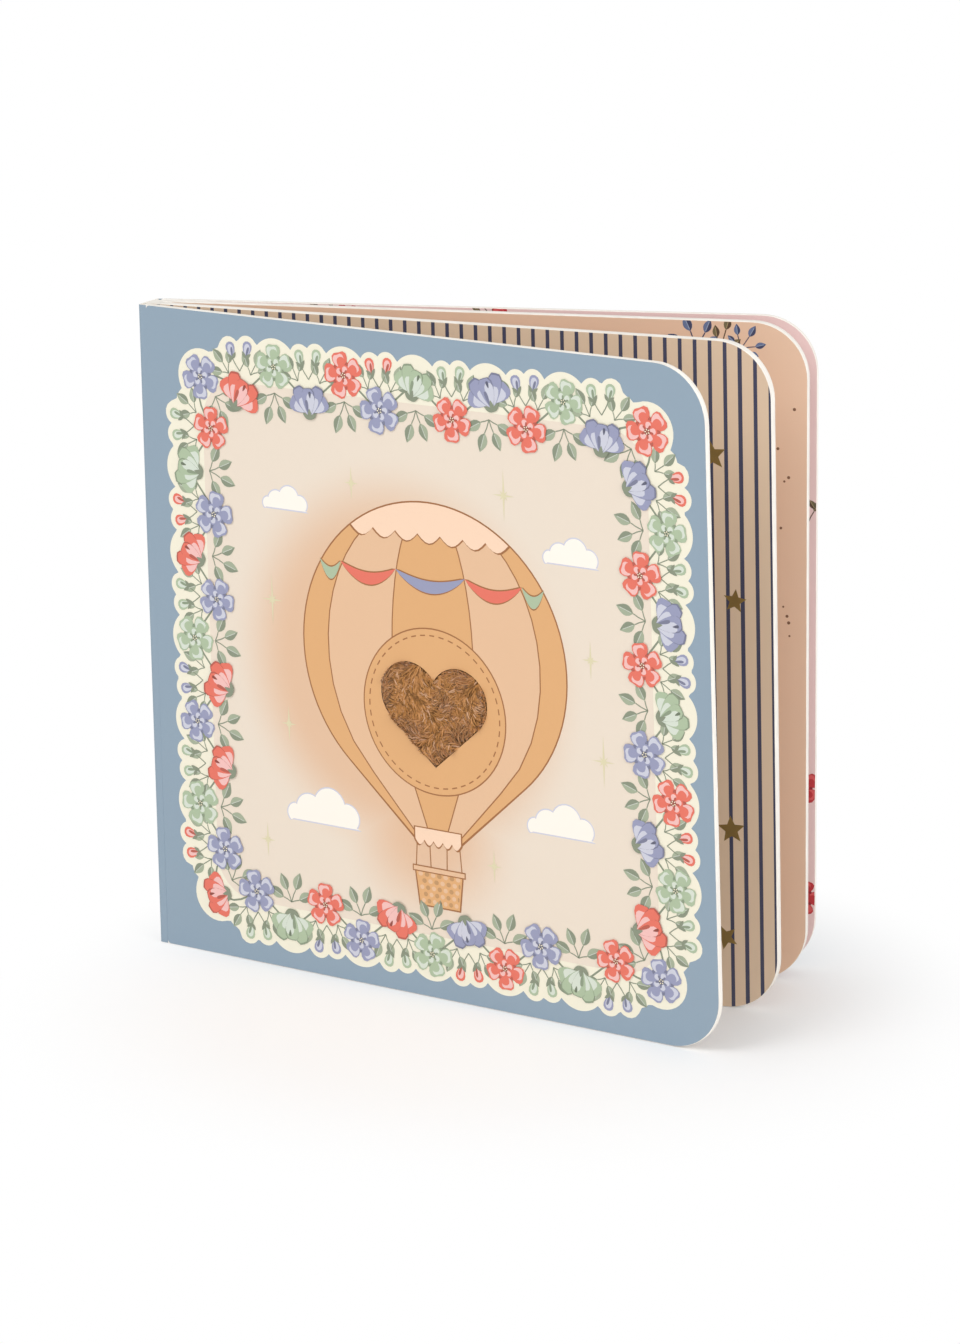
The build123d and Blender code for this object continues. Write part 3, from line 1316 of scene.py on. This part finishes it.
class BOOK_OT_cover_print(bpy.types.Operator):
    """Print on the front cover: scalloped cream panel, garland, balloon, clouds and sparkles"""

    bl_idname = "book.cover_print"
    bl_label = "Cover Print"

    def execute(self, context):
        paper = context.scene.book_paper
        heart = heart_cutter()
        patterns = garland_patterns()
        shapes, bumps = make_garland(patterns)
        shapes += vine(leaf_inks()[1])
        for shape in shapes:
            shape.location.y += print_y(FRONT_COVER, 2)
        garland = join("garland", shapes)
        thicken(garland)
        cream = printed("margin_cream", paper.margin)
        margin = cut_paper("margin", scalloped_outline(bumps), cream, print_y(FRONT_COVER, 1))
        slice_grid(margin)
        thicken(margin)
        punch_heart(margin, heart)
        inner = [along(garland_length() * step / 160, -1.0 * MM)[:2] for step in range(160)]
        field = cut_paper("field", inner, field_material(), print_y(FRONT_COVER, 2))
        slice_grid(field)
        thicken(field)
        punch_heart(field, heart)
        extras = join("clouds_and_sparkles", make_clouds() + make_sparkles())
        slice_grid(extras)
        thicken(extras)
        balloon = make_balloon(heart)
        discard([heart, *patterns.values()])
        seat([margin, field, garland, extras, balloon], FRONT_COVER)
        return {"FINISHED"}


def pile_field(across, up):
    """Direction in which the pile lies at a point of the heart: slow swirls."""
    x, z = across / MM, up / MM
    swirl = sin(0.42 * x + 1.3) + cos(0.37 * z - 0.6) + 0.9 * sin(0.23 * (x + z)) * cos(0.31 * (x - z))
    return -1.4 + 1.5 * swirl


def inside_heart(across, up, inset):
    """Whether a point, from the heart's tip, is inside its outline."""
    radius = HEART_LOBE_RADIUS - inset
    side_x, side_z = abs(across), up
    if hypot(side_x - HEART_LOBE_X, side_z - HEART_LOBE_Z) < radius:
        return True
    side = atan2(HEART_LOBE_X, HEART_LOBE_Z) + asin(HEART_LOBE_RADIUS / hypot(HEART_LOBE_X, HEART_LOBE_Z))
    past = side_x * cos(side) - side_z * sin(side) + inset
    below_lobe = side_z < HEART_LOBE_Z and (
        (side_x - HEART_LOBE_X) * cos(side) > 0 or side_x <= HEART_LOBE_X
    )
    touch = (HEART_LOBE_X + radius * cos(-side), HEART_LOBE_Z + radius * sin(-side))
    return past < 0 and below_lobe and side_z < touch[1] + (HEART_LOBE_Z - touch[1]) * (side_x < touch[0])


TUFT_STEPS = 3
TUFT_TAPER = (1, 0.95, 0.7)
ROOT_INSET = 0.14 * MM
TIP_INSET = 0.05 * MM


def tuft_path(root, heading, long, rise, curl):
    """Middle line of one tuft, which rises from its root and curls over."""
    path = [root]
    for step in range(TUFT_STEPS):
        turn = heading + curl * step / TUFT_STEPS
        lift = rise * (1 - 0.62 * step)
        forward = Vector((cos(turn) * cos(lift), -sin(lift), sin(turn) * cos(lift)))
        following = path[-1] + forward * long / TUFT_STEPS
        # The pile stops at the heart's edge instead of lying over the cover.
        if not inside_heart(following.x, following.z, TIP_INSET):
            following = path[-1] + Vector((0, -0.45 * long / TUFT_STEPS, 0))
        path.append(following)
    return path


def add_tuft(points, faces, path, heading, curl, radius):
    """Three-sided tuft round its path, closed at the root and pointed at the tip."""
    first = len(points)
    for ring, centre in enumerate(path[:-1]):
        turn = heading + curl * ring / TUFT_STEPS
        size = radius * TUFT_TAPER[ring]
        across_way = Vector((-sin(turn), 0, cos(turn)))
        for corner in range(3):
            angle = 2 * pi * corner / 3
            outward = across_way * cos(angle) * size
            points.append(centre + outward + Vector((0, -sin(angle) * size, 0)))
    points.append(path[-1])
    for ring in range(2):
        for corner in range(3):
            a = first + 3 * ring + corner
            b = first + 3 * ring + (corner + 1) % 3
            faces.append((a, b, b + 3, a + 3))
    for corner in range(3):
        faces.append((first + 6 + corner, first + 6 + (corner + 1) % 3, first + 9))
    faces.append((first + 2, first + 1, first))


def tuft_tone(chance, across, up):
    """Which of the four tones a tuft has: slow patches, broken up by chance."""
    patch = sin(0.9 * across / MM + 1.1 * sin(0.7 * up / MM)) * cos(0.8 * up / MM + 0.6)
    tone = chance.gauss(0.45 * patch, 0.75)
    return 0 if tone < -0.75 else 1 if tone < 0.25 else 2 if tone < 1.0 else 3


def make_pile(settings, inks):
    """Thousands of short curved tufts, three-sided and pointed, laid in slow swirls."""
    chance = random.Random(21)
    points, faces, tones_used = [], [], []
    placed = 0
    while placed < settings.tufts:
        across = chance.uniform(-15.8, 15.8) * MM
        up = chance.uniform(0.2, 26.3) * MM
        if not inside_heart(across, up, ROOT_INSET):
            continue
        placed += 1
        heading = pile_field(across, up) + chance.gauss(0, 0.38)
        long = settings.tuft_length * chance.uniform(0.6, 1.25)
        rise = chance.uniform(0.22, 0.62)
        curl = chance.gauss(0, 0.8)
        radius = chance.uniform(0.15, 0.25) * MM
        path = tuft_path(Vector((across, -0.1 * MM, up)), heading, long, rise, curl)
        add_tuft(points, faces, path, heading, curl, radius)
        tones_used += [tuft_tone(chance, across, up)] * 10
    mesh = bpy.data.meshes.new("plush_pile")
    place = Vector((HEART_FROM_CREASE, POCKET_DEPTH - 1.05 * MM, HEART_TIP_HEIGHT))
    mesh.from_pydata([point + place for point in points], [], faces)
    for ink in inks:
        mesh.materials.append(ink)
    mesh.polygons.foreach_set("material_index", tones_used)
    pile = bpy.data.objects.new("plush_pile", mesh)
    bpy.context.collection.objects.link(pile)
    edit_all(pile)
    bpy.ops.mesh.normals_make_consistent(inside=False)
    bpy.ops.object.mode_set(mode="OBJECT")
    smooth(pile, 80)
    return pile


class BOOK_OT_plush_heart(bpy.types.Operator):
    """Plush patch in the heart pocket: backing cloth and its swirled pile"""

    bl_idname = "book.plush_heart"
    bl_label = "Plush Heart"

    def execute(self, context):
        settings = context.scene.book_plush
        base = tuple(settings.pile)
        inks = [
            plush_material("plush_shadow", shade(base, 0.45)),
            plush_material("plush_brown", shade(base, 0.8)),
            plush_material("plush_tan", shade(base, 1.03)),
            plush_material("plush_light", shade(base, 1.14)),
        ]
        # The backing cloth takes the darkest pile tone, plush_shadow: painted shade down among the roots
        # of the pile.
        cloth = cut_paper("plush_cloth", heart_outline(0.1 * MM), inks[0], POCKET_DEPTH - 0.9 * MM)
        thicken(cloth, 0.8 * MM)
        apply_modifier(cloth, "BEVEL", width=0.2 * MM, segments=3, limit_method="ANGLE", angle_limit=0.9)
        slice_grid(cloth, 3.4 * MM)
        smooth(cloth)
        pile = make_pile(settings, inks)
        seat([cloth, pile], FRONT_COVER)
        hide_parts("plush_heart")
        return {"FINISHED"}


class BOOK_OT_leaves(bpy.types.Operator):
    """Two thick leaves glued along the gutter, with their striped, peach and pink sides"""

    bl_idname = "book.leaves"
    bl_label = "Leaves"

    def execute(self, context):
        paper = context.scene.book_paper
        ground = printed("stripe_ground", paper.stripe_ground)
        peach = printed("peach_paper", paper.peach)
        pink = printed("pink_paper", paper.pink)
        seed_ink = printed("seed_brown", tint(120, 86, 66))
        front_core, striped, front_back = self.front_leaf(paper, ground, peach, seed_ink)
        back_core, peach_front, pink_back = self.back_leaf(peach, pink, seed_ink)
        block = self.gutter_block()
        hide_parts("pages")
        return {"FINISHED"}

    def front_leaf(self, paper, ground, peach, seed_ink):
        """First leaf: striped front side with stars, and peach back side with seeds."""
        core = make_core(FRONT_LEAF)
        striped = make_paper(FRONT_LEAF, "leaf_stripes", ground, -1, 0.4 * MM)
        stripe_paper(striped, printed("stripe_navy", paper.stripe))
        thicken(striped, PAPER_THICKNESS)
        stars = scatter_stars(FRONT_LEAF, -1, star_places(8, FORE_EDGE_STARS))
        back_side = make_paper(FRONT_LEAF, "leaf_peach_back", peach, 1, 4.5 * MM)
        thicken(back_side, PAPER_THICKNESS)
        dots = join("front_leaf_seeds", scatter_dots(FRONT_LEAF, 1, 3, 40, seed_ink))
        thicken(dots)
        smooth(core)
        seat([core, striped, stars, back_side, dots], FRONT_LEAF)
        return core, striped, back_side

    def back_leaf(self, peach, pink, seed_ink):
        """Second leaf: peach front side with sprigs and seeds, and plain pink back side."""
        core = make_core(BACK_LEAF)
        front_side = make_paper(BACK_LEAF, "leaf_peach_front", peach, -1, 4.5 * MM)
        thicken(front_side, PAPER_THICKNESS)
        back_side = make_paper(BACK_LEAF, "leaf_pink_back", pink, 1, 0.4 * MM)
        thicken(back_side, PAPER_THICKNESS)
        blue = (
            printed("sprig_blue", tint(96, 112, 148)),
            printed("sprig_navy", tint(60, 66, 96)),
            printed("sprig_sky", tint(150, 164, 190)),
        )
        olive = olive_inks()
        patterns = {
            "blue": leaf_spray("blue_sprig", BROAD_SPRIG, blue),
            "olive": leaf_spray("olive_sprig", SLIM_SPRIG, olive),
        }
        places = [(patterns[colour_name], *place) for colour_name, *place in PEACH_SPRIGS]
        sprigs = page_sprigs(BACK_LEAF, places, "peach_sprigs")
        seeds = join("back_leaf_seeds", scatter_dots(BACK_LEAF, -1, 12, 70, seed_ink))
        for one in (sprigs, seeds):
            thicken(one)
        smooth(core)
        seat([core, front_side, back_side, sprigs, seeds], BACK_LEAF)
        discard([patterns["blue"], patterns["olive"]])
        return core, front_side, back_side

    def gutter_block(self):
        """The glued strip along the bound edge that holds the two leaves."""
        inset = 0.12 * MM
        near = on_board(FRONT_LEAF, 4 * MM, BOARD_HEIGHT / 2, inset)
        far = on_board(BACK_LEAF, 4 * MM, BOARD_HEIGHT / 2, -inset)
        corners = [
            (CREASE_X, FRONT_LEAF.crease_y + inset),
            (near.x, near.y),
            (far.x, far.y),
            (CREASE_X, BACK_LEAF.crease_y - inset),
        ]
        block = cut_paper("gutter_block", corners, board_core(), 0, 1)
        for vertex, (x, y) in zip(block.data.vertices, corners):
            vertex.co = (x, y, BOARD_HEIGHT - 0.05 * MM)
        if block.data.polygons[0].normal.z < 0:
            edit_all(block)
            bpy.ops.mesh.flip_normals()
            bpy.ops.object.mode_set(mode="OBJECT")
        thicken(block, BOARD_HEIGHT - 0.1 * MM)
        apply_modifier(block, "BEVEL", width=0.1 * MM, segments=2, limit_method="ANGLE", angle_limit=0.7)
        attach(block, "block")
        return block


class BOOK_OT_back_cover(bpy.types.Operator):
    """Back cover: board with blue paper outside and pink paper inside"""

    bl_idname = "book.back_cover"
    bl_label = "Back Cover"

    def execute(self, context):
        paper = context.scene.book_paper
        core = make_core(BACK_COVER)
        outside = make_paper(
            BACK_COVER, "back_paper", printed("cover_blue", paper.cover), 1, CREASE_PAPER - 0.16 * MM
        )
        inside = make_paper(BACK_COVER, "back_lining", printed("pink_paper", paper.pink), -1)
        for one in (outside, inside):
            thicken(one, PAPER_THICKNESS)
        red = (
            printed("sprig_red_pale", tint(214, 92, 92)),
            printed("sprig_red", tint(186, 52, 58)),
            printed("sprig_red_deep", tint(140, 32, 44)),
            printed("sprig_red_dark", tint(88, 22, 34)),
        )
        olive = olive_inks()
        flower = open_blossom("red_flower", red)
        twig = leaf_spray("umber_twig", SLIM_SPRIG, olive)
        spots = (
            (166.3, 49.0, 12), (166.6, 19.5, -20), (90, 165.8, 4), (50, 165.4, 30),
            (128, 134, 60), (60, 118, -30), (104, 84, 15), (36, 60, 80),
            (84, 32, -10), (132, 48, 40), (146, 92, 20),
        )
        places = []
        for across, up, turn in spots:
            places.append((twig, across - 1.6, up + 1.2, turn + 40, 0.8))
            places.append((twig, across - 1.0, up - 1.4, turn + 150, 0.7))
        places += [(twig, 167.6, 117, 10, 0.95), (twig, 166.8, 126, 160, 0.8)]
        sprigs = page_sprigs(BACK_COVER, places, "pink_twigs")
        bunches = [(flower, across, up, turn, 0.8) for across, up, turn in spots]
        flowers = page_sprigs(BACK_COVER, bunches, "pink_flowers", 4)
        for one in (sprigs, flowers):
            thicken(one)
        smooth(core)
        seat([core, outside, inside, sprigs, flowers], BACK_COVER)
        discard([flower, twig])
        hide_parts("back_cover")
        return {"FINISHED"}


class BOOK_OT_spine(bpy.types.Operator):
    """Spine: card strip under the blue paper that folds over on to both covers"""

    bl_idname = "book.spine"
    bl_label = "Spine"

    def execute(self, context):
        paper = context.scene.book_paper
        low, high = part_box("spine")
        # The real card is thin: only its glued side keeps the block's place.
        low.x = high.x - 0.25 * MM
        deselect()
        bpy.ops.mesh.primitive_cube_add(size=1, location=(low + high) / 2, scale=high - low)
        card = context.object
        card.name = "spine_card"
        bpy.ops.object.transform_apply(location=True, rotation=True, scale=True)
        card.data.materials.append(board_core())
        apply_modifier(card, "BEVEL", width=0.2 * MM, segments=2, limit_method="ANGLE")
        smooth(card)
        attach(card, "block")
        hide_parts("spine")

        blue = printed("cover_blue", paper.cover)
        wrap = self.strip(
            "spine_wrap", [(low.x - 0.04 * MM, y * MM) for y in (4.5, 1.5, -1.5, -4.5)], blue
        )
        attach(wrap, "block")
        for board, side in ((FRONT_COVER, -1), (BACK_COVER, 1)):
            self.crease(board, side, low.x, blue)
        return {"FINISHED"}

    def strip(self, name, plan, material):
        """Upright strip of paper along a path in plan."""
        deselect()
        bpy.ops.mesh.primitive_circle_add(vertices=len(plan), fill_type="NOTHING")
        strip = bpy.context.object
        strip.name = name
        for vertex, (x, y) in zip(strip.data.vertices, plan):
            vertex.co = (x, y, 0.15 * MM)
        if len(plan) > 2:
            # The blank's last edge would close the loop.
            edit_all(strip)
            bpy.ops.mesh.select_all(action="DESELECT")
            bpy.ops.object.mode_set(mode="OBJECT")
            ends = {0, len(plan) - 1}
            for edge in strip.data.edges:
                edge.select = set(edge.vertices) == ends
            bpy.ops.object.mode_set(mode="EDIT")
            bpy.ops.mesh.select_mode(type="EDGE")
            bpy.ops.mesh.delete(type="EDGE")
            bpy.ops.mesh.select_mode(type="VERT")
        edit_all(strip)
        rise = {"value": (0, 0, BOARD_HEIGHT - 0.3 * MM)}
        bpy.ops.mesh.extrude_region_move(TRANSFORM_OT_translate=rise)
        bpy.ops.mesh.select_all(action="SELECT")
        for step in range(1, 10):
            bpy.ops.mesh.select_all(action="SELECT")
            bpy.ops.mesh.bisect(plane_co=(0, 0, BOARD_HEIGHT * step / 10), plane_no=(0, 0, 1))
        bpy.ops.object.mode_set(mode="OBJECT")
        strip.data.materials.append(material)
        apply_modifier(strip, "SOLIDIFY", thickness=0.08 * MM, offset=0)
        edit_all(strip)
        bpy.ops.mesh.normals_make_consistent(inside=False)
        bpy.ops.object.mode_set(mode="OBJECT")
        smooth(strip, 50)
        return strip

    def crease(self, board, side, spine_x, material):
        """Paper that folds from the spine's edge on to a cover's outer face."""
        onto = on_board(board, CREASE_PAPER, BOARD_HEIGHT / 2, side * 0.005 * MM)
        near = on_board(board, 0.5 * MM, BOARD_HEIGHT / 2, side * 0.005 * MM)
        x = spine_x - 0.06 * MM
        plan = [
            (x, side * 4.3 * MM),
            (x, side * 4.55 * MM),
            (x + 0.06 * MM, side * 4.74 * MM),
            (x + 0.22 * MM, side * 4.84 * MM),
            (near.x, near.y),
            (onto.x, onto.y),
        ]
        fold = self.strip(f"crease_{board.name}", plan, material)
        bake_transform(fold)


class BOOK_OT_stage(bpy.types.Operator):
    """White floor, soft lamps, even light and the camera"""

    bl_idname = "book.stage"
    bl_label = "Stage"

    def execute(self, context):
        self.floor()
        self.lamps(context.scene.book_stage)
        self.world(context.scene.book_stage)
        self.camera(context.scene)
        context.scene.view_settings.view_transform = "Standard"
        return {"FINISHED"}

    def floor(self):
        deselect()
        bpy.ops.mesh.primitive_plane_add(size=30, location=(0, 0, -0.0001))
        floor = bpy.context.object
        floor.name = "floor"
        material, nodes, links, shader = new_material("floor_white", (0.93, 0.93, 0.93), 0.9)
        grain = noise(nodes, links, 60)
        links.new(spread(nodes, links, grain.outputs["Fac"], 0.85, 0.95), shader.inputs["Roughness"])
        shader.inputs["Specular IOR Level"].default_value = 0.1
        self.fade_to_white(nodes, links, shader)
        floor.data.materials.append(material)

    def fade_to_white(self, nodes, links, shader):
        """The floor takes the book's shadow near it, and is plain white further out."""
        near = glow(nodes, links, (0.1, -0.01, 0.0), 0.06, 0.13)
        rays = nodes.new("ShaderNodeLightPath")
        far = nodes.new("ShaderNodeMath")
        far.operation = "SUBTRACT"
        far.inputs[0].default_value = 1
        kept = nodes.new("ShaderNodeMath")
        kept.operation = "MULTIPLY"
        kept.inputs[1].default_value = 0.85
        links.new(near, kept.inputs[0])
        links.new(kept.outputs["Value"], far.inputs[1])
        seen = nodes.new("ShaderNodeMath")
        seen.operation = "MULTIPLY"
        links.new(far.outputs["Value"], seen.inputs[0])
        links.new(rays.outputs["Is Camera Ray"], seen.inputs[1])
        white = nodes.new("ShaderNodeEmission")
        mix = nodes.new("ShaderNodeMixShader")
        links.new(seen.outputs["Value"], mix.inputs["Fac"])
        links.new(shader.outputs["BSDF"], mix.inputs[1])
        links.new(white.outputs["Emission"], mix.inputs[2])
        links.new(mix.outputs["Shader"], nodes["Material Output"].inputs["Surface"])

    def lamp(self, name, place, target, size, power):
        deselect()
        bpy.ops.object.light_add(type="AREA", location=place)
        lamp = bpy.context.object
        lamp.name = name
        lamp.data.shape = "DISK"
        lamp.data.size = size
        lamp.data.energy = power
        lamp.rotation_euler = (Vector(target) - Vector(place)).to_track_quat("-Z", "Y").to_euler()

    def lamps(self, settings):
        self.lamp("key_lamp", (-0.55, -1.15, 1.5), (0.08, 0, 0.08), 1.1, settings.key)
        self.lamp("fill_lamp", (1.5, -0.7, 0.8), (0.08, 0, 0.08), 1.2, settings.fill)

    def world(self, settings):
        world = bpy.data.worlds.new("studio")
        bpy.context.scene.world = world
        world.use_nodes = True
        nodes, links = world.node_tree.nodes, world.node_tree.links
        background = nodes["Background"]
        background.inputs["Color"].default_value = (1, 1, 1, 1)
        rays = nodes.new("ShaderNodeLightPath")
        strength = nodes.new("ShaderNodeMix")
        strength.inputs["A"].default_value = settings.sky
        strength.inputs["B"].default_value = 1.0
        links.new(rays.outputs["Is Camera Ray"], strength.inputs["Factor"])
        links.new(strength.outputs["Result"], background.inputs["Strength"])

    def camera(self, scene):
        deselect()
        bpy.ops.object.camera_add(location=(0.543897, -0.900446, 0.344542))
        camera = bpy.context.object
        right = Vector((0.89475, 0.44635, -0.01403))
        up = Vector((-0.10035, 0.23157, 0.96763))
        turn = Matrix((right, up, right.cross(up))).transposed()
        camera.rotation_euler = turn.to_euler()
        camera.data.lens = 111.57
        camera.data.clip_start = 0.05
        camera.data.clip_end = 60
        scene.camera = camera


class BOOK_PT_sidebar(bpy.types.Panel):
    """Lists the operators in the order in which they run"""

    bl_label = "Board Book"
    bl_idname = "BOOK_PT_sidebar"
    bl_space_type = "VIEW_3D"
    bl_region_type = "UI"
    bl_category = "Book"

    def draw(self, context):
        for operator in OPERATORS:
            self.layout.operator(operator.bl_idname)
        for settings in ("book_paper", "book_ink", "book_plush", "book_stage"):
            group = getattr(context.scene, settings)
            box = self.layout.box()
            for key in group.bl_rna.properties.keys():
                if key not in ("rna_type", "name"):
                    box.prop(group, key)


OPERATORS = (
    BOOK_OT_stage,
    BOOK_OT_front_cover,
    BOOK_OT_cover_print,
    BOOK_OT_plush_heart,
    BOOK_OT_leaves,
    BOOK_OT_back_cover,
    BOOK_OT_spine,
)
SETTINGS = {
    "book_paper": BookPaper,
    "book_ink": BookInk,
    "book_plush": BookPlush,
    "book_stage": BookStage,
}


def register():
    for group in (*SETTINGS.values(), *OPERATORS, BOOK_PT_sidebar):
        bpy.utils.register_class(group)
    for name, group in SETTINGS.items():
        setattr(bpy.types.Scene, name, PointerProperty(type=group))


def unregister():
    for name in SETTINGS:
        delattr(bpy.types.Scene, name)
    for group in reversed((*SETTINGS.values(), *OPERATORS, BOOK_PT_sidebar)):
        bpy.utils.unregister_class(group)


def main():
    register()
    bpy.ops.book.stage()
    bpy.ops.book.front_cover()
    bpy.ops.book.cover_print()
    bpy.ops.book.plush_heart()
    bpy.ops.book.leaves()
    bpy.ops.book.back_cover()
    bpy.ops.book.spine()


if __name__ == "__main__":
    main()
